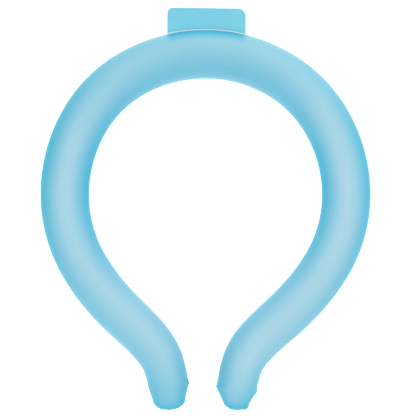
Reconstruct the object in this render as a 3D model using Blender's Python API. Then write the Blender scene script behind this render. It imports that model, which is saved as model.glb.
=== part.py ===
"""Cooling neck ring: a soft round tube bent into an open ring and filled with a
phase-change core, closed at both tips by tapered end seals, with a flat tab at the back.

The ring lies flat on Z = 0. +Y points from the tips to the tab, and +X to the right.
Metres.
"""
import math

import bpy
import bmesh
from mathutils import Matrix, Vector

# Ring and tube
RING_RADIUS = 0.0598        # tube's centreline at the sides of the ring
BACK_DEPTH = 0.0592        # side line of the ring to the centreline at the back
TUBE_WIDTH = 0.0206         # across the tube around the ring
TIP_WIDTH = 0.0173          # across the tube where the end seals start
WALL = 0.0012               # skin of the tube
FIT_GAP = 0.0003            # between pieces that touch
TUBE_SIDES = 24             # flats around the tube, one of them underneath

# End seals
SEAL_LENGTH = 0.0142        # from the tube's end to the blunt tip

# Tab
TAB_WIDTH = 0.0332
TAB_REACH = 0.0093          # top edge beyond the tube
TAB_THICKNESS = 0.0012
TAB_OFFSET = 0.0005         # middle of the tab to the right of the ring's middle
TAB_CORNER_LEFT = 0.0024    # radius of each top corner
TAB_CORNER_RIGHT = 0.0032
TAB_SLOPE = 0.7             # degrees that the top edge falls to the right

STEP_TURN = 7.5             # largest turn between two stations, degrees
STEP_LENGTH = 0.0085        # longest run between two stations

# Bends of the tube from the middle of the back to each tip.
# Columns: length as a share of RING_RADIUS, turn towards the wearer in degrees.
LEFT_BENDS = (
    (0.553, 30.0),
    (0.468, 30.0),
    (0.550, 30.0),
    (0.522, 30.0),
    (0.260, 10.0),
    (0.195, 6.5),
    (0.150, 0.0),
    (0.168, -9.0),
    (0.182, -24.7),
    (0.037, 0.0),
)
RIGHT_BENDS = (
    (0.545, 30.0),
    (0.478, 29.5),
    (0.550, 30.5),
    (0.510, 30.5),
    (0.260, 10.5),
    (0.245, 7.5),
    (0.125, 0.0),
    (0.165, -8.5),
    (0.210, -28.5),
    (0.027, 0.0),
)
BACK_BENDS = 3              # bends at the head of each list that make the ring's quarter

# How the arms narrow below the ring's sides.
# Columns: share of the arm's length, share of the way from TUBE_WIDTH to TIP_WIDTH.
ARM_TAPER = (
    (0.00, 0.00),
    (0.40, 0.08),
    (0.65, 0.15),
    (0.76, 0.32),
    (0.84, 0.45),
    (0.90, 0.70),
    (0.95, 0.90),
    (1.00, 1.00),
)

# Sections of the end seals, from the tube to the blunt tip.
# Columns: distance along the outer side and along the inner side as shares of
# SEAL_LENGTH, then half width outwards, half width inwards and half height as
# shares of half TIP_WIDTH. The third row is the crest of the weld.
LEFT_SEAL = (
    (0.000, 0.000, 1.000, 1.000, 1.000),
    (0.060, 0.160, 0.990, 0.980, 0.990),
    (0.200, 0.340, 1.010, 1.000, 1.005),
    (0.280, 0.400, 0.998, 0.970, 0.985),
    (0.400, 0.480, 0.988, 0.895, 0.940),
    (0.560, 0.580, 0.958, 0.810, 0.870),
    (0.720, 0.720, 0.938, 0.688, 0.760),
    (0.810, 0.820, 0.870, 0.625, 0.680),
    (0.890, 0.900, 0.765, 0.570, 0.580),
    (0.955, 0.965, 0.600, 0.450, 0.450),
    (0.995, 1.005, 0.400, 0.290, 0.330),
)
RIGHT_SEAL = (
    (0.000, 0.000, 1.000, 1.000, 1.000),
    (0.160, 0.160, 0.985, 0.985, 0.985),
    (0.325, 0.420, 1.030, 0.990, 1.005),
    (0.420, 0.470, 0.975, 0.955, 0.965),
    (0.500, 0.540, 0.910, 0.880, 0.895),
    (0.600, 0.620, 0.850, 0.765, 0.805),
    (0.720, 0.720, 0.797, 0.638, 0.710),
    (0.820, 0.820, 0.780, 0.520, 0.625),
    (0.885, 0.890, 0.750, 0.440, 0.540),
    (0.925, 0.950, 0.640, 0.320, 0.440),
    (0.955, 0.985, 0.450, 0.150, 0.330),
)

MATERIALS = {
    "tinted_skin": ((0.114, 0.533, 0.716), 0.38),
    "milky_core": ((0.62, 0.84, 0.90), 0.55),
    "tinted_seal": ((0.150, 0.550, 0.710), 0.42),
    "tinted_tab": ((0.212, 0.631, 0.791), 0.45),
}


def clear_scene():
    for thing in list(bpy.data.objects):
        bpy.data.objects.remove(thing, do_unlink=True)


def new_collection(name):
    collection = bpy.data.collections.new(name)
    bpy.context.scene.collection.children.link(collection)
    return collection


def new_material(name):
    color, roughness = MATERIALS[name]
    material = bpy.data.materials.new(name)
    material.use_nodes = True
    shader = material.node_tree.nodes["Principled BSDF"]
    shader.inputs["Base Color"].default_value = (*color, 1.0)
    shader.inputs["Roughness"].default_value = roughness
    shader.inputs["Metallic"].default_value = 0.0
    material.diffuse_color = (*color, 1.0)
    return material


def mix(low, high, share):
    return low + (high - low) * share


def table_value(table, share):
    """Second column of a two-column table, read in straight lines between its rows."""
    for (low, first), (high, second) in zip(table, table[1:]):
        if share <= high:
            return mix(first, second, (share - low) / (high - low))
    return table[-1][1]


def walk_bends(bends, side):
    """Stations (x, y, heading, length) from the middle of the back to one tip.

    The heading is in radians from straight towards the wearer's front, growing inwards.
    """
    x, y = 0.0, BACK_DEPTH
    heading = -math.pi / 2
    travelled = 0.0
    stations = [(x, y, heading, travelled)]
    for share, turn in bends:
        length = share * RING_RADIUS
        steps = math.ceil(max(abs(turn) / STEP_TURN, length / STEP_LENGTH) - 1e-6)
        for _ in range(steps):
            middle = heading + math.radians(turn) / steps / 2
            x -= side * math.sin(middle) * length / steps
            y -= math.cos(middle) * length / steps
            heading += math.radians(turn) / steps
            travelled += length / steps
            stations.append((x, y, heading, travelled))
    return stations


def arm_widths(stations, bends):
    """Tube width at each station: full around the ring, narrowing along the arm."""
    ring_part = sum(share for share, _ in bends[:BACK_BENDS]) * RING_RADIUS
    arm_part = stations[-1][3] - ring_part
    widths = []
    for station in stations:
        along = max(station[3] - ring_part, 0.0) / arm_part
        widths.append(mix(TUBE_WIDTH, TIP_WIDTH, table_value(ARM_TAPER, along)))
    return widths


def tube_route():
    """Centreline points from the left tip over the back to the right tip, with widths."""
    left = walk_bends(LEFT_BENDS, -1)
    right = walk_bends(RIGHT_BENDS, 1)
    left_widths = arm_widths(left, LEFT_BENDS)
    right_widths = arm_widths(right, RIGHT_BENDS)
    stations = left[::-1] + right[1:]
    points = [Vector((x, y, TUBE_WIDTH / 2)) for x, y, _, _ in stations]
    return points, left_widths[::-1] + right_widths[1:], left[-1], right[-1]


def lengthen(points, widths, extra):
    """The same route with a straight run of the extra length at each end."""
    first = points[0] + (points[0] - points[1]).normalized() * extra
    last = points[-1] + (points[-1] - points[-2]).normalized() * extra
    return [first] + points + [last], [widths[0]] + widths + [widths[-1]]


def round_section(sides):
    """Closed section one unit across its flats, with a flat underneath."""
    data = bpy.data.curves.new("tube_section", "CURVE")
    spline = data.splines.new("POLY")
    spline.points.add(sides - 1)
    corner = 0.5 / math.cos(math.pi / sides)
    for index, point in enumerate(spline.points):
        angle = 2 * math.pi * (index + 0.5) / sides
        point.co = (corner * math.cos(angle), corner * math.sin(angle), 0.0, 1.0)
    spline.use_cyclic_u = True
    section = bpy.data.objects.new("tube_section", data)
    section.hide_render = True
    section.display_type = "WIRE"
    return section


def sweep(name, collection, section, points, widths):
    """A capped mesh: the section drawn along the points, as wide as each width."""
    data = bpy.data.curves.new(name, "CURVE")
    data.dimensions = "3D"
    data.twist_mode = "Z_UP"
    data.bevel_mode = "OBJECT"
    data.bevel_object = section
    data.use_fill_caps = True
    spline = data.splines.new("POLY")
    spline.points.add(len(points) - 1)
    for target, place, width in zip(spline.points, points, widths):
        target.co = (*place, 1.0)
        target.radius = width
    curve = bpy.data.objects.new(name + "_route", data)
    collection.objects.link(curve)
    bpy.context.view_layer.update()
    evaluated = curve.evaluated_get(bpy.context.evaluated_depsgraph_get())
    mesh = bpy.data.meshes.new_from_object(evaluated)
    swept = bpy.data.objects.new(name, mesh)
    swept.matrix_world = curve.matrix_world
    bpy.data.objects.remove(curve, do_unlink=True)
    weld_mesh(mesh)
    collection.objects.link(swept)
    return swept


def weld_mesh(mesh):
    work = bmesh.new()
    work.from_mesh(mesh)
    bmesh.ops.remove_doubles(work, verts=work.verts, dist=1e-6)
    bmesh.ops.recalc_face_normals(work, faces=work.faces)
    work.to_mesh(mesh)
    work.free()


def finish(piece, material, crease):
    """Give the piece its material and shade it smooth up to the crease angle."""
    piece.data.materials.clear()
    piece.data.materials.append(material)
    piece.data.shade_smooth()
    piece.data.set_sharp_from_angle(angle=math.radians(crease))


def make_skin(parts, cutters, section, points, widths):
    """The hollow tube, open at both ends."""
    skin = sweep("ring_skin", parts, section, points, widths)
    long_points, long_widths = lengthen(points, widths, 4 * WALL)
    bore_widths = [width - 2 * WALL for width in long_widths]
    bore = sweep("bore_cutter", cutters, section, long_points, bore_widths)
    bore.hide_render = True
    bore.display_type = "WIRE"
    cut = skin.modifiers.new("bore", "BOOLEAN")
    cut.operation = "DIFFERENCE"
    cut.solver = "EXACT"
    cut.object = bore
    return skin


def make_core(parts, section, points, widths):
    """The filling, a fit gap clear of the bore all round."""
    inner = [width - 2 * (WALL + FIT_GAP) for width in widths]
    return sweep("cooling_core", parts, section, points, inner)


def make_seal(name, parts, station, side, table):
    """A tapered plug with a low weld crest, lofted from unlike sections."""
    x, y, heading, _ = station
    half = TIP_WIDTH / 2
    forward = Vector((-side * math.sin(heading), -math.cos(heading), 0.0))
    inward = Vector((-side * math.cos(heading), math.sin(heading), 0.0))
    base = Vector((x, y, TUBE_WIDTH / 2)) + forward * FIT_GAP
    work = bmesh.new()
    rings = []
    for along_outer, along_inner, outer, inner, height in table:
        ring = []
        for index in range(TUBE_SIDES):
            angle = 2 * math.pi * (index + 0.5) / TUBE_SIDES
            across = math.cos(angle)
            reach = mix(along_outer, along_inner, (1 + across) / 2) * SEAL_LENGTH
            wide = half * (inner if across > 0 else outer) * across
            tall = half * height * math.sin(angle)
            place = base + forward * reach + inward * wide + Vector((0.0, 0.0, tall))
            ring.append(work.verts.new(place))
        rings.append(ring)
    for near, far in zip(rings, rings[1:]):
        for index in range(TUBE_SIDES):
            after = (index + 1) % TUBE_SIDES
            work.faces.new((near[index], near[after], far[after], far[index]))
    work.faces.new(rings[0])
    work.faces.new(rings[-1])
    bmesh.ops.recalc_face_normals(work, faces=work.faces)
    mesh = bpy.data.meshes.new(name)
    work.to_mesh(mesh)
    work.free()
    seal = bpy.data.objects.new(name, mesh)
    parts.objects.link(seal)
    return seal


def arc_points(centre, radius, start, end, steps):
    """Points of an arc in the plane, angles in degrees."""
    points = []
    for index in range(steps + 1):
        angle = math.radians(mix(start, end, index / steps))
        points.append((centre[0] + radius * math.cos(angle), centre[1] + radius * math.sin(angle)))
    return points


def tab_outline():
    """Outline of the tab: a root that follows the tube and a straight, rounded top."""
    share, turn = LEFT_BENDS[0]
    bend_radius = share * RING_RADIUS / math.radians(turn)
    tube_edge = bend_radius + TUBE_WIDTH / 2
    centre_y = BACK_DEPTH - bend_radius
    left = TAB_OFFSET - TAB_WIDTH / 2
    right = TAB_OFFSET + TAB_WIDTH / 2
    root = tube_edge + FIT_GAP
    first = 180 - math.degrees(math.acos(-left / root))
    last = math.degrees(math.acos(right / root))
    top = centre_y + tube_edge + TAB_REACH
    fall = math.tan(math.radians(TAB_SLOPE)) * TAB_WIDTH / 2
    outline = arc_points((0.0, centre_y), root, last, first, 12)
    corner = (left + TAB_CORNER_LEFT, top + fall - TAB_CORNER_LEFT)
    outline += arc_points(corner, TAB_CORNER_LEFT, 180.0, 90.0 - TAB_SLOPE, 6)
    corner = (right - TAB_CORNER_RIGHT, top - fall - TAB_CORNER_RIGHT)
    outline += arc_points(corner, TAB_CORNER_RIGHT, 90.0 - TAB_SLOPE, 0.0, 6)
    return outline


def make_tab(parts):
    """The flat tab at the back, half way up the tube."""
    data = bpy.data.curves.new("neck_tab", "CURVE")
    data.dimensions = "2D"
    data.fill_mode = "BOTH"
    data.extrude = TAB_THICKNESS / 2
    outline = tab_outline()
    spline = data.splines.new("POLY")
    spline.points.add(len(outline) - 1)
    for point, place in zip(spline.points, outline):
        point.co = (place[0], place[1], 0.0, 1.0)
    spline.use_cyclic_u = True
    tab = bpy.data.objects.new("neck_tab", data)
    tab.location = (0.0, 0.0, TUBE_WIDTH / 2)
    parts.objects.link(tab)
    return tab


def world_corners(thing):
    evaluated = thing.evaluated_get(bpy.context.evaluated_depsgraph_get())
    mesh = bpy.data.meshes.new_from_object(evaluated)
    places = [evaluated.matrix_world @ vertex.co for vertex in mesh.vertices]
    bpy.data.meshes.remove(mesh)
    return places


def stand_on_origin(parts, cutters):
    """Move everything so that the middle of the ring's underside is the origin."""
    bpy.context.view_layer.update()
    places = [place for thing in parts.objects for place in world_corners(thing)]
    low = Vector([min(place[axis] for place in places) for axis in range(3)])
    high = Vector([max(place[axis] for place in places) for axis in range(3)])
    shift = Vector((-(low.x + high.x) / 2, -(low.y + high.y) / 2, -low.z))
    for thing in list(parts.objects) + list(cutters.objects):
        thing.matrix_world = Matrix.Translation(shift) @ thing.matrix_world


def main():
    clear_scene()
    parts = new_collection("Cooling neck ring")
    cutters = new_collection("Cutters")
    section = round_section(TUBE_SIDES)
    cutters.objects.link(section)
    points, widths, left_end, right_end = tube_route()
    skin = make_skin(parts, cutters, section, points, widths)
    core = make_core(parts, section, points, widths)
    left_seal = make_seal("end_seal_left", parts, left_end, -1, LEFT_SEAL)
    right_seal = make_seal("end_seal_right", parts, right_end, 1, RIGHT_SEAL)
    tab = make_tab(parts)
    finish(skin, new_material("tinted_skin"), 40.0)
    finish(core, new_material("milky_core"), 40.0)
    seal_material = new_material("tinted_seal")
    finish(left_seal, seal_material, 50.0)
    finish(right_seal, seal_material, 50.0)
    tab.data.materials.append(new_material("tinted_tab"))
    bpy.data.objects.remove(section, do_unlink=True)
    stand_on_origin(parts, cutters)


main()
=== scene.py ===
import math

import bmesh
import bpy
import numpy as np
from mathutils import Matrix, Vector


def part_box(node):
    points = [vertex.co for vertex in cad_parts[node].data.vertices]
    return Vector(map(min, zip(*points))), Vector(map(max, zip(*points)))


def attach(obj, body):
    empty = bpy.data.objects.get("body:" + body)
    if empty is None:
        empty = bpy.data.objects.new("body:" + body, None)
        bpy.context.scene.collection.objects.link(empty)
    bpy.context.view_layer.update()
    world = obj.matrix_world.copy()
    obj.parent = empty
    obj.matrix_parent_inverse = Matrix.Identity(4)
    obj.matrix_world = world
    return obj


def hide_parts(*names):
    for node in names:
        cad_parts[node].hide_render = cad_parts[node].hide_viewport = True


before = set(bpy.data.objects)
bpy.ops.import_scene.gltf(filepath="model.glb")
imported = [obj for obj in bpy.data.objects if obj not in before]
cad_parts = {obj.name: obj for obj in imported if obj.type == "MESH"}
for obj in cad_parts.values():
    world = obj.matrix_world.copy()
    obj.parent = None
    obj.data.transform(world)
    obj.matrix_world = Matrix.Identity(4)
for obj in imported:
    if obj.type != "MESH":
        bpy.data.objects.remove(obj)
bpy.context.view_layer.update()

# Sizes, metres, as in the frame
RING_RADIUS = 0.0598
BACK_DEPTH = 0.0592
TUBE_WIDTH = 0.0206
TIP_WIDTH = 0.0173
SEAL_LENGTH = 0.0142
TAB_WIDTH = 0.0332
TAB_REACH = 0.0093
TAB_THICKNESS = 0.0012
TAB_OFFSET = 0.0005
TAB_CORNER_LEFT = 0.0024
TAB_CORNER_RIGHT = 0.0032
TAB_SLOPE = 0.7
MID_HEIGHT = TUBE_WIDTH / 2

SIDES = 96                  # facets around the tube
STEP = 0.0010               # between two stations along the tube
BEND_SMOOTHING = 5          # stations each side over which the bends are eased
TAPER_SMOOTHING = 4         # the same for the taper
SEAL_STEPS = 8              # rings made from one row of a seal's table
CORNER_STEPS = 14           # facets round a corner of the tab
ROOT_STEPS = 24             # facets along the tab's root
SHARP_DEGREES = 50          # edges of the flat pieces are sharp above this angle
WELD_DISTANCE = 1e-6        # points nearer than this are one

# Columns: length as a share of RING_RADIUS, turn in degrees.
LEFT_BENDS = (
    (0.553, 30.0),
    (0.468, 30.0),
    (0.550, 30.0),
    (0.522, 30.0),
    (0.260, 10.0),
    (0.195, 6.5),
    (0.150, 0.0),
    (0.168, -9.0),
    (0.182, -24.7),
    (0.037, 0.0),
)
RIGHT_BENDS = (
    (0.545, 30.0),
    (0.478, 29.5),
    (0.550, 30.5),
    (0.510, 30.5),
    (0.260, 10.5),
    (0.245, 7.5),
    (0.125, 0.0),
    (0.165, -8.5),
    (0.210, -28.5),
    (0.027, 0.0),
)
BACK_BENDS = 3

# Columns: share of the arm's length, share of the way from TUBE_WIDTH to TIP_WIDTH.
ARM_TAPER = (
    (0.00, 0.00), (0.40, 0.08), (0.65, 0.15), (0.76, 0.32),
    (0.84, 0.45), (0.90, 0.70), (0.95, 0.90), (1.00, 1.00),
)

# Columns: distance along the outer and the inner side as shares of SEAL_LENGTH, half width
# outwards, half width inwards and half height as shares of half TIP_WIDTH.
LEFT_SEAL = (
    (0.000, 0.000, 1.000, 1.000, 1.000),
    (0.060, 0.160, 0.990, 0.980, 0.990),
    (0.200, 0.340, 1.010, 1.000, 1.005),
    (0.280, 0.400, 0.998, 0.970, 0.985),
    (0.400, 0.480, 0.988, 0.895, 0.940),
    (0.560, 0.580, 0.958, 0.810, 0.870),
    (0.720, 0.720, 0.938, 0.688, 0.760),
    (0.810, 0.820, 0.870, 0.625, 0.680),
    (0.890, 0.900, 0.765, 0.570, 0.580),
    (0.955, 0.965, 0.600, 0.450, 0.450),
    (0.995, 1.005, 0.400, 0.290, 0.330),
)
RIGHT_SEAL = (
    (0.000, 0.000, 1.000, 1.000, 1.000),
    (0.160, 0.160, 0.985, 0.985, 0.985),
    (0.325, 0.420, 1.030, 0.990, 1.005),
    (0.420, 0.470, 0.975, 0.955, 0.965),
    (0.500, 0.540, 0.910, 0.880, 0.895),
    (0.600, 0.620, 0.850, 0.765, 0.805),
    (0.720, 0.720, 0.797, 0.638, 0.710),
    (0.820, 0.820, 0.780, 0.520, 0.625),
    (0.885, 0.890, 0.750, 0.440, 0.540),
    (0.925, 0.950, 0.640, 0.320, 0.440),
    (0.955, 0.985, 0.450, 0.150, 0.330),
)

# The rounded end face. Columns: width as a share of the last section's, metres forward of it.
TIP_DOME = ((0.90, 0.00022), (0.74, 0.00036), (0.50, 0.00043), (0.25, 0.00045))

# Where the middle of the ring lies in the frame
ring_low, ring_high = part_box("ring_skin")
tab_low, tab_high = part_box("neck_tab")
CENTRE_X = tab_high.x - TAB_OFFSET - TAB_WIDTH / 2
CENTRE_Y = ring_high.y - BACK_DEPTH - TUBE_WIDTH / 2


def column(table, share):
    """The second column of a table at the places given, straight between its rows."""
    rows = np.array(table)
    return np.interp(share, rows[:, 0], rows[:, 1])


def smooth(values, reach):
    """Moving average over reach samples each side, ends held."""
    kernel = np.hanning(2 * reach + 3)[1:-1]
    kernel /= kernel.sum()
    padded = np.concatenate([np.full(reach, values[0]), values, np.full(reach, values[-1])])
    return np.convolve(padded, kernel, mode="valid")


def arm_route(bends, side):
    """Positions, headings and widths from the middle of the back to the end of the tube."""
    lengths = np.array([share * RING_RADIUS for share, _ in bends])
    turns = np.radians([turn for _, turn in bends])
    ends = np.concatenate([[0.0], np.cumsum(lengths)])
    count = int(round(ends[-1] / STEP))
    along = np.linspace(0.0, ends[-1], count + 1)
    middle = (along[1:] + along[:-1]) / 2
    heading = -math.pi / 2 + np.interp(middle, ends, np.concatenate([[0.0], np.cumsum(turns)]))
    mirrored = np.concatenate([-math.pi - heading[::-1], heading])
    heading = smooth(mirrored, BEND_SMOOTHING)[len(middle):]
    step = ends[-1] / count
    x = np.concatenate([[0.0], np.cumsum(-side * np.sin(heading) * step)])
    y = BACK_DEPTH + np.concatenate([[0.0], np.cumsum(-np.cos(heading) * step)])
    turned = np.concatenate([[-math.pi / 2], (heading[1:] + heading[:-1]) / 2, [heading[-1]]])
    ring_part = ends[BACK_BENDS]
    share = np.clip((along - ring_part) / (ends[-1] - ring_part), 0.0, 1.0)
    taper = smooth(column(ARM_TAPER, share), TAPER_SMOOTHING)
    width = TUBE_WIDTH + (TIP_WIDTH - TUBE_WIDTH) * taper
    return np.stack([x, y], 1), turned, width, along


def catmull(rows, per_span):
    """Rows of a table drawn out into a smooth run through all of them."""
    rows = np.array(rows, float)
    held = np.vstack([2 * rows[0] - rows[1], rows, 2 * rows[-1] - rows[-2]])
    made = []
    for index in range(1, len(held) - 2):
        before, start, end, after = held[index - 1:index + 3]
        for part in np.arange(per_span) / per_span:
            made.append(0.5 * (
                2 * start + (end - before) * part
                + (2 * before - 5 * start + 4 * end - after) * part ** 2
                + (3 * start - before - 3 * end + after) * part ** 3
            ))
    made.append(rows[-1])
    return np.array(made)


def grid_object(name, grid, shares):
    """A tube from a grid of points: rows along it, columns around it, a cap at each end.

    uv: x is the share of the way along the tube, y the share of the way around it.
    """
    rows, sides, _ = grid.shape
    verts = grid.reshape(-1, 3)
    faces = []
    for row in range(rows - 1):
        for side in range(sides):
            after = (side + 1) % sides
            faces.append((
                row * sides + side, row * sides + after,
                (row + 1) * sides + after, (row + 1) * sides + side,
            ))
    faces.append(tuple(reversed(range(sides))))
    faces.append(tuple(range((rows - 1) * sides, rows * sides)))
    mesh = bpy.data.meshes.new(name)
    mesh.from_pydata([tuple(v) for v in verts], [], faces)
    uv = mesh.uv_layers.new(name="UVMap")
    values = np.full((len(mesh.loops), 2), (shares[0], 0.0))
    values[-sides:, 0] = shares[-1]
    index = 0
    for row in range(rows - 1):
        for side in range(sides):
            corners = ((row, side), (row, side + 1), (row + 1, side + 1), (row + 1, side))
            for along, around in corners:
                values[index] = (shares[along], around / sides)
                index += 1
    uv.data.foreach_set("uv", values.ravel())
    mesh.polygons.foreach_set("use_smooth", [True] * len(mesh.polygons))
    made = bpy.data.objects.new(name, mesh)
    bpy.context.scene.collection.objects.link(made)
    return made


def around_angles():
    return 2 * math.pi * np.arange(SIDES) / SIDES


def tube_grid(places, headings, widths, side):
    """Rings round the route. Column angle 0 points outwards, a quarter turn is up."""
    angles = around_angles()
    rings = []
    for (x, y), heading, width in zip(places, headings, widths):
        outward = np.array([side * math.cos(heading), -math.sin(heading), 0.0])
        centre = np.array([x + CENTRE_X, y + CENTRE_Y, MID_HEIGHT])
        ring = (
            centre
            + np.outer(np.cos(angles), outward) * width / 2
            + np.outer(np.sin(angles), (0.0, 0.0, 1.0)) * width / 2
        )
        rings.append(ring)
    return np.array(rings)


def seal_grid(place, heading, side, table):
    """Rings of an end seal, with a rounded blunt end."""
    half = TIP_WIDTH / 2
    forward = np.array([-side * math.sin(heading), -math.cos(heading), 0.0])
    outward = np.array([side * math.cos(heading), -math.sin(heading), 0.0])
    base = np.array([place[0] + CENTRE_X, place[1] + CENTRE_Y, MID_HEIGHT])
    angles = around_angles()
    across = np.cos(angles)
    rings = []
    for along_outer, along_inner, outer, inner, height in catmull(table, SEAL_STEPS):
        share = along_inner + (along_outer - along_inner) * (1 + across) / 2
        wide = half * np.where(across > 0, outer, inner) * across
        tall = half * height * np.sin(angles)
        ring = (
            base + np.outer(share * SEAL_LENGTH, forward) + np.outer(wide, outward)
            + np.outer(tall, (0.0, 0.0, 1.0))
        )
        rings.append(ring)
    last = rings[-1]
    centre = last.mean(axis=0)
    for shrink, push in TIP_DOME:
        rings.append(centre + (last - centre) * shrink + forward * push)
    return np.array(rings)


left_places, left_headings, left_widths, left_along = arm_route(LEFT_BENDS, -1)
right_places, right_headings, right_widths, right_along = arm_route(RIGHT_BENDS, 1)
left_grid = tube_grid(left_places, left_headings, left_widths, -1)
right_grid = tube_grid(right_places, right_headings, right_widths, 1)
# outwards stays outwards on both sides, so the columns meet at the back
tube_rings = np.concatenate([left_grid[::-1], right_grid[1:]])
tube_along = np.concatenate([-left_along[::-1], right_along[1:]])
left_seal_rings = seal_grid(left_places[-1], left_headings[-1], -1, LEFT_SEAL)
right_seal_rings = seal_grid(right_places[-1], right_headings[-1], 1, RIGHT_SEAL)

# The moulding is one surface from tip to tip: the seals share the tube's end rings.
body_rings = np.concatenate([left_seal_rings[:0:-1], tube_rings, right_seal_rings[1:]])


def running_length(rings):
    centres = rings.mean(axis=1)
    return np.concatenate([[0.0], np.cumsum(np.linalg.norm(np.diff(centres, axis=0), axis=1))])


body_along = running_length(body_rings)
body_length = body_along[-1]
ring_tube = grid_object("ring_tube", body_rings, body_along / body_length)
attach(ring_tube, "root")
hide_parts("ring_skin", "end_seal_left", "end_seal_right", "cooling_core")


# The tab
def arc(centre, radius, start, end, steps):
    angles = np.radians(np.linspace(start, end, steps + 1))
    return [(centre[0] + radius * math.cos(a), centre[1] + radius * math.sin(a)) for a in angles]


BEND_RADIUS = LEFT_BENDS[0][0] * RING_RADIUS / math.radians(LEFT_BENDS[0][1])
TUBE_EDGE = BEND_RADIUS + TUBE_WIDTH / 2
BEND_Y = BACK_DEPTH - BEND_RADIUS
TAB_EDGE = 0.00022          # rounding of the tab's edges
WELD_WIDTH = 0.00038        # weld between tab and tube, painted near white as a highlight, in its middle and at its ends
WELD_WIDTH_LEFT = 0.00060
WELD_WIDTH_RIGHT = 0.00045
WELD_THICKNESS = 0.0010
WELD_EDGE = 0.00010         # rounding of the weld's edges
TAB_LEFT = TAB_OFFSET - TAB_WIDTH / 2
TAB_RIGHT = TAB_OFFSET + TAB_WIDTH / 2


def weld_width(x):
    """Width of the weld between tab and tube: narrow in the middle, wider at both ends."""
    left, right = WELD_WIDTH_LEFT - WELD_WIDTH, WELD_WIDTH_RIGHT - WELD_WIDTH
    return WELD_WIDTH + (left if x < 0 else right) * (2 * x / TAB_WIDTH) ** 2


def root_arc(gap_share, steps):
    """Arc along the tab's root from right to left, the weld's width times the share off the tube."""
    points = []
    for x in np.linspace(TAB_RIGHT, TAB_LEFT, steps + 1):
        radius = TUBE_EDGE + gap_share * weld_width(x)
        points.append((x, BEND_Y + math.sqrt(radius ** 2 - x ** 2)))
    return points


def tab_outline():
    """The tab from above: root, rounded left corner, sloping top, rounded right corner."""
    top = BEND_Y + TUBE_EDGE + TAB_REACH
    fall = math.tan(math.radians(TAB_SLOPE)) * TAB_WIDTH / 2
    outline = root_arc(1.0, ROOT_STEPS)
    corner = (TAB_LEFT + TAB_CORNER_LEFT, top + fall - TAB_CORNER_LEFT)
    outline += arc(corner, TAB_CORNER_LEFT, 180.0, 90.0 - TAB_SLOPE, CORNER_STEPS)
    corner = (TAB_RIGHT - TAB_CORNER_RIGHT, top - fall - TAB_CORNER_RIGHT)
    outline += arc(corner, TAB_CORNER_RIGHT, 90.0 - TAB_SLOPE, 0.0, CORNER_STEPS)
    return np.array(outline)


def flat_piece(name, outline, thickness, edge):
    """A flat plate with rounded edges, half way up the tube."""
    data = bpy.data.curves.new(name, "CURVE")
    data.dimensions = "2D"
    data.fill_mode = "BOTH"
    data.extrude = thickness / 2 - edge
    data.bevel_depth = edge
    data.bevel_resolution = 3
    data.offset = -edge
    spline = data.splines.new("POLY")
    spline.points.add(len(outline) - 1)
    for point, (x, y) in zip(spline.points, outline):
        point.co = (x + CENTRE_X, y + CENTRE_Y, 0.0, 1.0)
    spline.use_cyclic_u = True
    curve = bpy.data.objects.new(name + "_curve", data)
    curve.location.z = MID_HEIGHT
    bpy.context.scene.collection.objects.link(curve)
    bpy.context.view_layer.update()
    evaluated = curve.evaluated_get(bpy.context.evaluated_depsgraph_get())
    mesh = bpy.data.meshes.new_from_object(evaluated)
    mesh.transform(curve.matrix_world)
    work = bmesh.new()
    work.from_mesh(mesh)
    bmesh.ops.remove_doubles(work, verts=work.verts, dist=WELD_DISTANCE)
    bmesh.ops.recalc_face_normals(work, faces=work.faces)
    work.to_mesh(mesh)
    work.free()
    plate = bpy.data.objects.new(name, mesh)
    bpy.context.scene.collection.objects.link(plate)
    bpy.data.objects.remove(curve, do_unlink=True)
    mesh.shade_smooth()
    mesh.set_sharp_from_angle(angle=math.radians(SHARP_DEGREES))
    return plate


neck_flap = flat_piece("neck_flap", tab_outline(), TAB_THICKNESS, TAB_EDGE)
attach(neck_flap, "root")
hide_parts("neck_tab")

# The weld reaches a little under the tab and a little into the tube. Its near-white colour is a
# painted highlight along the tab's root.
weld_outline = root_arc(1.15, 2 * ROOT_STEPS) + root_arc(-0.5, 2 * ROOT_STEPS)[::-1]
weld_highlight_strip = flat_piece("weld_highlight_strip", weld_outline, WELD_THICKNESS, WELD_EDGE)
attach(weld_highlight_strip, "root")


# Materials
DEEP_TINT = (0.050, 0.500, 0.710, 1.0)      # clear tinted plastic alone
PALE_MILK_AND_PAINTED_LIGHT = (0.440, 0.715, 0.835, 1.0)      # the milky filling at its palest, with painted highlight and painted reflection mixed in
CROWN_HIGHLIGHT_FALL = 3.6                            # how fast the crown's paleness, milky filling with a painted highlight, falls off
FLANK_REFLECTION_FALL = 0.7                            # how fast the painted reflection on the flanks falls off upwards
TAB_TINT = (0.172, 0.628, 0.790, 1.0)
TAB_TINT_PALE = (0.192, 0.652, 0.808, 1.0)
# painted light: the tab's root colour is paler, against the shade the tube casts there
TAB_TINT_ROOT_LIT = (0.200, 0.690, 0.840, 1.0)
# painted highlight: the weld's near-white colours stand for the highlight along the tab's root
WELD_HIGHLIGHT_TINT = (0.95, 0.97, 0.96, 1.0)
WELD_HIGHLIGHT_TINT_PALE = (0.98, 0.99, 0.97, 1.0)
HIGHLIGHT_LEAN_RANGE = 30.0                           # degrees that the crown's painted highlight can lean each way
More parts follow.
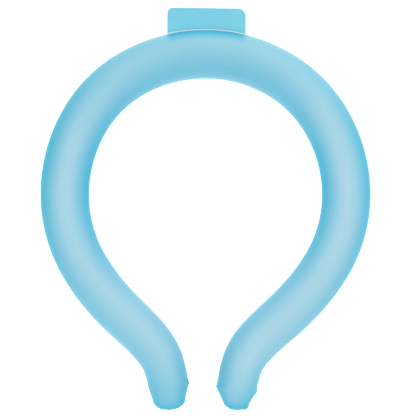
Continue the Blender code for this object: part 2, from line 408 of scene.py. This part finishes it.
# Columns: share of the way from the left tip to the right one, paleness on the crown (milky filling
# and painted highlight), painted reflection on the flanks, lean of the crown's painted highlight
# outwards in degrees.
MILK_AND_LIGHT_ALONG = (
    (0.000, 0.00, 0.00, 0), (0.003, 0.10, 0.00, 0), (0.009, 0.50, 0.25, 2),
    (0.030, 0.66, 0.45, 0), (0.060, 0.88, 0.80, -4),
    (0.110, 0.88, 1.00, -7), (0.160, 0.88, 0.65, -6), (0.210, 0.92, 0.35, -2),
    (0.265, 0.98, 0.00, -2), (0.320, 0.92, 0.08, -3), (0.370, 0.78, 0.35, -2),
    (0.420, 0.66, 0.72, 8), (0.500, 0.62, 0.88, 12), (0.580, 0.66, 0.85, 12),
    (0.630, 0.84, 0.55, 6), (0.680, 0.98, 0.15, 0), (0.735, 1.00, 0.08, 0),
    (0.790, 0.98, 0.35, 0), (0.840, 0.94, 0.60, 0), (0.890, 0.92, 0.90, 0),
    (0.940, 1.00, 0.70, 4), (0.970, 0.84, 0.45, 3),
    (0.991, 0.52, 0.25, 0), (0.997, 0.10, 0.00, 0), (1.000, 0.00, 0.00, 0),
)


# Where the tab's root lies, as shares of the way along the tube
BACK_SHARE = body_along[len(left_seal_rings) + len(left_grid) - 2] / body_length
ROOT_MIDDLE = BACK_SHARE + BEND_RADIUS * TAB_OFFSET / TUBE_EDGE / body_length
ROOT_HALF = BEND_RADIUS * TAB_WIDTH / 2 / TUBE_EDGE / body_length
ROOT_SHADE_EDGE = 0.0038          # share along the tube over which the painted shade under the tab fades out
ROOT_Y = CENTRE_Y + BEND_Y + TUBE_EDGE
ROOT_LIGHT_DEPTH = 0.0045        # how far the painted light at the tab's root reaches
ROOT_SHADE_FADE = 0.55            # cosine of the angle round the tube where the painted shade under the tab ends


def new_material(name):
    material = bpy.data.materials.new(name)
    material.use_nodes = True
    tree = material.node_tree
    return material, tree.nodes, tree.links, tree.nodes["Principled BSDF"]


def maths(nodes, links, operation, first, second=None):
    """One maths node. Each value is a socket or a number."""
    node = nodes.new("ShaderNodeMath")
    node.operation = operation
    for socket, value in zip(node.inputs, (first, second)):
        if isinstance(value, (int, float)):
            socket.default_value = value
        elif value is not None:
            links.new(value, socket)
    return node.outputs[0]


def milk_and_light_ramp(nodes, links, along, shares):
    """A value that runs smoothly through the shares at the places of MILK_AND_LIGHT_ALONG."""
    ramp = nodes.new("ShaderNodeValToRGB")
    ramp.color_ramp.interpolation = "B_SPLINE"
    stops = ramp.color_ramp.elements
    stops[0].position, stops[1].position = MILK_AND_LIGHT_ALONG[0][0], MILK_AND_LIGHT_ALONG[-1][0]
    for row in MILK_AND_LIGHT_ALONG[1:-1]:
        stops.new(row[0])
    for stop, share in zip(stops, shares):
        stop.color = (share, share, share, 1.0)
    links.new(along, ramp.inputs[0])
    return ramp.outputs[0]


def eased(nodes, links, value, zero, one):
    """0 to 1 as the value goes from the one limit to the other."""
    node = nodes.new("ShaderNodeMapRange")
    node.interpolation_type = "SMOOTHSTEP"
    node.inputs["From Min"].default_value = zero
    node.inputs["From Max"].default_value = one
    links.new(value, node.inputs["Value"])
    return node.outputs["Result"]


def skin_material():
    material, nodes, links, shader = new_material("satin_skin")
    uv = nodes.new("ShaderNodeUVMap")
    uv.uv_map = "UVMap"
    split = nodes.new("ShaderNodeSeparateXYZ")
    links.new(uv.outputs[0], split.inputs[0])
    along, around = split.outputs[0], split.outputs[1]
    # paleness along the tube: milky filling with a painted highlight on the crown, painted
    # reflection on the flanks, and the painted highlight's lean
    crown_milk_and_highlight = milk_and_light_ramp(nodes, links, along, [row[1] for row in MILK_AND_LIGHT_ALONG])
    flank_reflection = milk_and_light_ramp(nodes, links, along, [row[2] for row in MILK_AND_LIGHT_ALONG])
    lean = milk_and_light_ramp(nodes, links, along, [0.5 + row[3] / HIGHLIGHT_LEAN_RANGE / 2 for row in MILK_AND_LIGHT_ALONG])
    # 0 on the parting line of the flanks, 1 on the crown and underneath
    angle = maths(nodes, links, "MULTIPLY", around, 2 * math.pi)
    height = maths(nodes, links, "ABSOLUTE", maths(nodes, links, "SINE", angle))
    # painted reflection on the flanks: strongest on the parting line, falling off upwards
    low = maths(nodes, links, "SUBTRACT", 1.0, height)
    low = maths(nodes, links, "POWER", low, FLANK_REFLECTION_FALL)
    # the same, but leaning to one side, for the painted highlight on the crown
    tilt = maths(nodes, links, "MULTIPLY", lean, 2 * math.radians(HIGHLIGHT_LEAN_RANGE))
    tilt = maths(nodes, links, "SUBTRACT", tilt, math.radians(HIGHLIGHT_LEAN_RANGE))
    leaning = maths(nodes, links, "SINE", maths(nodes, links, "ADD", angle, tilt))
    crown = maths(nodes, links, "POWER", maths(nodes, links, "ABSOLUTE", leaning), CROWN_HIGHLIGHT_FALL)
    # painted light: the pale mix is milky filling with a painted highlight on the crown and a
    # painted reflection on the flanks
    milk_and_light = maths(
        nodes, links, "ADD",
        maths(nodes, links, "MULTIPLY", crown, crown_milk_and_highlight),
        maths(nodes, links, "MULTIPLY", low, flank_reflection),
    )
    place = nodes.new("ShaderNodeTexCoord")
    cloud = nodes.new("ShaderNodeTexNoise")
    cloud.inputs["Scale"].default_value = 45.0
    cloud.inputs["Detail"].default_value = 3.0
    links.new(place.outputs["Object"], cloud.inputs["Vector"])
    drift = nodes.new("ShaderNodeMapRange")
    drift.inputs["To Min"].default_value = 0.94
    drift.inputs["To Max"].default_value = 1.06
    links.new(cloud.outputs["Fac"], drift.inputs["Value"])
    cloudy_milk_and_light = maths(nodes, links, "MULTIPLY", milk_and_light, drift.outputs["Result"])
    # painted shade: the paleness stops short of the tab's root, leaving the tube's flank deep where
    # the tab shades it
    off_middle = maths(nodes, links, "SUBTRACT", along, ROOT_MIDDLE)
    off_middle = maths(nodes, links, "ABSOLUTE", off_middle)
    root = maths(
        nodes, links, "MULTIPLY",
        eased(nodes, links, off_middle, ROOT_HALF + ROOT_SHADE_EDGE, ROOT_HALF - ROOT_SHADE_EDGE),
        eased(nodes, links, maths(nodes, links, "COSINE", angle), ROOT_SHADE_FADE, 1.0),
    )
    cloudy_milk_and_light = maths(nodes, links, "MULTIPLY", cloudy_milk_and_light, maths(nodes, links, "SUBTRACT", 1.0, root))
    tint = nodes.new("ShaderNodeMix")
    tint.data_type = "RGBA"
    tint.inputs[6].default_value = DEEP_TINT
    tint.inputs[7].default_value = PALE_MILK_AND_PAINTED_LIGHT
    links.new(cloudy_milk_and_light, tint.inputs[0])
    links.new(tint.outputs[2], shader.inputs["Base Color"])
    grain = nodes.new("ShaderNodeTexNoise")
    grain.inputs["Scale"].default_value = 2600.0
    grain.inputs["Detail"].default_value = 2.0
    links.new(place.outputs["Object"], grain.inputs["Vector"])
    bump = nodes.new("ShaderNodeBump")
    bump.inputs["Strength"].default_value = 0.05
    bump.inputs["Distance"].default_value = 0.0002
    links.new(grain.outputs["Fac"], bump.inputs["Height"])
    links.new(bump.outputs["Normal"], shader.inputs["Normal"])
    shader.inputs["Roughness"].default_value = 0.40
    shader.inputs["IOR"].default_value = 1.12
    shader.inputs["Subsurface Weight"].default_value = 0.15
    shader.inputs["Subsurface Radius"].default_value = (0.5, 0.9, 1.0)
    shader.inputs["Subsurface Scale"].default_value = 0.002
    return material


def tab_material():
    material, nodes, links, shader = new_material("satin_tab")
    place = nodes.new("ShaderNodeTexCoord")
    cloud = nodes.new("ShaderNodeTexNoise")
    cloud.inputs["Scale"].default_value = 120.0
    cloud.inputs["Detail"].default_value = 3.0
    links.new(place.outputs["Object"], cloud.inputs["Vector"])
    ramp = nodes.new("ShaderNodeMix")
    ramp.data_type = "RGBA"
    ramp.inputs[6].default_value = TAB_TINT
    ramp.inputs[7].default_value = TAB_TINT_PALE
    links.new(cloud.outputs["Fac"], ramp.inputs[0])
    # painted light: a little paler towards its root, against the shade the tube casts there
    parts = nodes.new("ShaderNodeSeparateXYZ")
    links.new(place.outputs["Object"], parts.inputs[0])
    near = eased(nodes, links, parts.outputs[1], ROOT_Y + ROOT_LIGHT_DEPTH, ROOT_Y)
    root = nodes.new("ShaderNodeMix")
    root.data_type = "RGBA"
    root.inputs[7].default_value = TAB_TINT_ROOT_LIT
    links.new(near, root.inputs[0])
    links.new(ramp.outputs[2], root.inputs[6])
    links.new(root.outputs[2], shader.inputs["Base Color"])
    shader.inputs["Roughness"].default_value = 0.45
    return material


# Near-white weld colour: a painted highlight along the tab's root
def weld_highlight_material():
    material, nodes, links, shader = new_material("weld_painted_highlight")
    place = nodes.new("ShaderNodeTexCoord")
    cloud = nodes.new("ShaderNodeTexNoise")
    cloud.inputs["Scale"].default_value = 400.0
    links.new(place.outputs["Object"], cloud.inputs["Vector"])
    tint = nodes.new("ShaderNodeMix")
    tint.data_type = "RGBA"
    tint.inputs[6].default_value = WELD_HIGHLIGHT_TINT
    tint.inputs[7].default_value = WELD_HIGHLIGHT_TINT_PALE
    links.new(cloud.outputs["Fac"], tint.inputs[0])
    links.new(tint.outputs[2], shader.inputs["Base Color"])
    shader.inputs["Roughness"].default_value = 0.6
    return material


ring_tube.data.materials.append(skin_material())
weld_highlight_strip.data.materials.append(weld_highlight_material())
neck_flap.data.materials.append(tab_material())


# Stage
def floor_piece():
    mesh = bpy.data.meshes.new("floor")
    reach = 3.0
    mesh.from_pydata(
        [(-reach, -reach, 0.0), (reach, -reach, 0.0), (reach, reach, 0.0), (-reach, reach, 0.0)],
        [], [(0, 1, 2, 3)],
    )
    floor = bpy.data.objects.new("floor", mesh)
    bpy.context.scene.collection.objects.link(floor)
    material, _, _, shader = new_material("pale_floor")
    shader.inputs["Base Color"].default_value = (0.93, 0.93, 0.93, 1.0)
    shader.inputs["Roughness"].default_value = 0.9
    shader.inputs["Emission Color"].default_value = (1.0, 1.0, 1.0, 1.0)
    shader.inputs["Emission Strength"].default_value = 0.53
    mesh.materials.append(material)


def soft_light(name, place, target, width, height, power):
    data = bpy.data.lights.new(name, "AREA")
    data.shape = "RECTANGLE"
    data.size = width
    data.size_y = height
    data.energy = power
    lamp = bpy.data.objects.new(name, data)
    lamp.location = place
    lamp.rotation_euler = (Vector(target) - Vector(place)).to_track_quat("-Z", "Y").to_euler()
    bpy.context.scene.collection.objects.link(lamp)


floor_piece()
world = bpy.data.worlds.new("studio")
bpy.context.scene.world = world
world.use_nodes = True
world.node_tree.nodes["Background"].inputs["Color"].default_value = (1.0, 1.0, 1.0, 1.0)
world.node_tree.nodes["Background"].inputs["Strength"].default_value = 0.48

LIGHT_DISTANCE = 0.9
LIGHT_SIZE = 0.4
# Columns: name, degrees round from the tab's side towards +X, degrees up, width, watts.
LIGHTS = (
    ("over", 0, 90, 0.4, 1.2),
    ("tab_high", 0, 60, 1.0, 1.45),
    ("front_high", 180, 60, 0.8, 1.6),
    ("tab_low", 20, 10, 0.9, 1.35),
    ("front_mid", 180, 32, 0.4, 0.25),
    ("right_low", 90, 10, 0.4, 0.35),
    ("front_left_low", 225, 10, 0.4, 0.3),
    ("left_low", 270, 10, 0.4, 0.15),
)
for name, round_degrees, up_degrees, width, power in LIGHTS:
    turn, rise = math.radians(round_degrees), math.radians(up_degrees)
    place = LIGHT_DISTANCE * Vector((
        math.sin(turn) * math.cos(rise), math.cos(turn) * math.cos(rise), math.sin(rise),
    ))
    soft_light(name, place, (0.0, 0.0, 0.0), width, LIGHT_SIZE, power)

# Camera straight above, with the tab towards the top of the picture
PIXEL = 0.000424            # metres to a pixel of the 416 x 416 picture at the ring's mid height
FRAME_PIXELS = 416
RING_PIXEL_X = 205.3        # the ring's middle in the picture, from the left and from the top
RING_PIXEL_Y = 194.0
AIM_X = CENTRE_X + (FRAME_PIXELS / 2 - RING_PIXEL_X) * PIXEL
AIM_Y = CENTRE_Y - (FRAME_PIXELS / 2 - RING_PIXEL_Y) * PIXEL
CAMERA_HEIGHT = 1.2
SENSOR_WIDTH = 36.0
camera_data = bpy.data.cameras.new("camera")
camera_data.sensor_width = SENSOR_WIDTH
camera_data.lens = SENSOR_WIDTH * CAMERA_HEIGHT / (PIXEL * FRAME_PIXELS)
camera = bpy.data.objects.new("camera", camera_data)
camera.location = (AIM_X, AIM_Y, MID_HEIGHT + CAMERA_HEIGHT)
bpy.context.scene.collection.objects.link(camera)
bpy.context.scene.camera = camera
bpy.context.scene.view_settings.view_transform = "Standard"
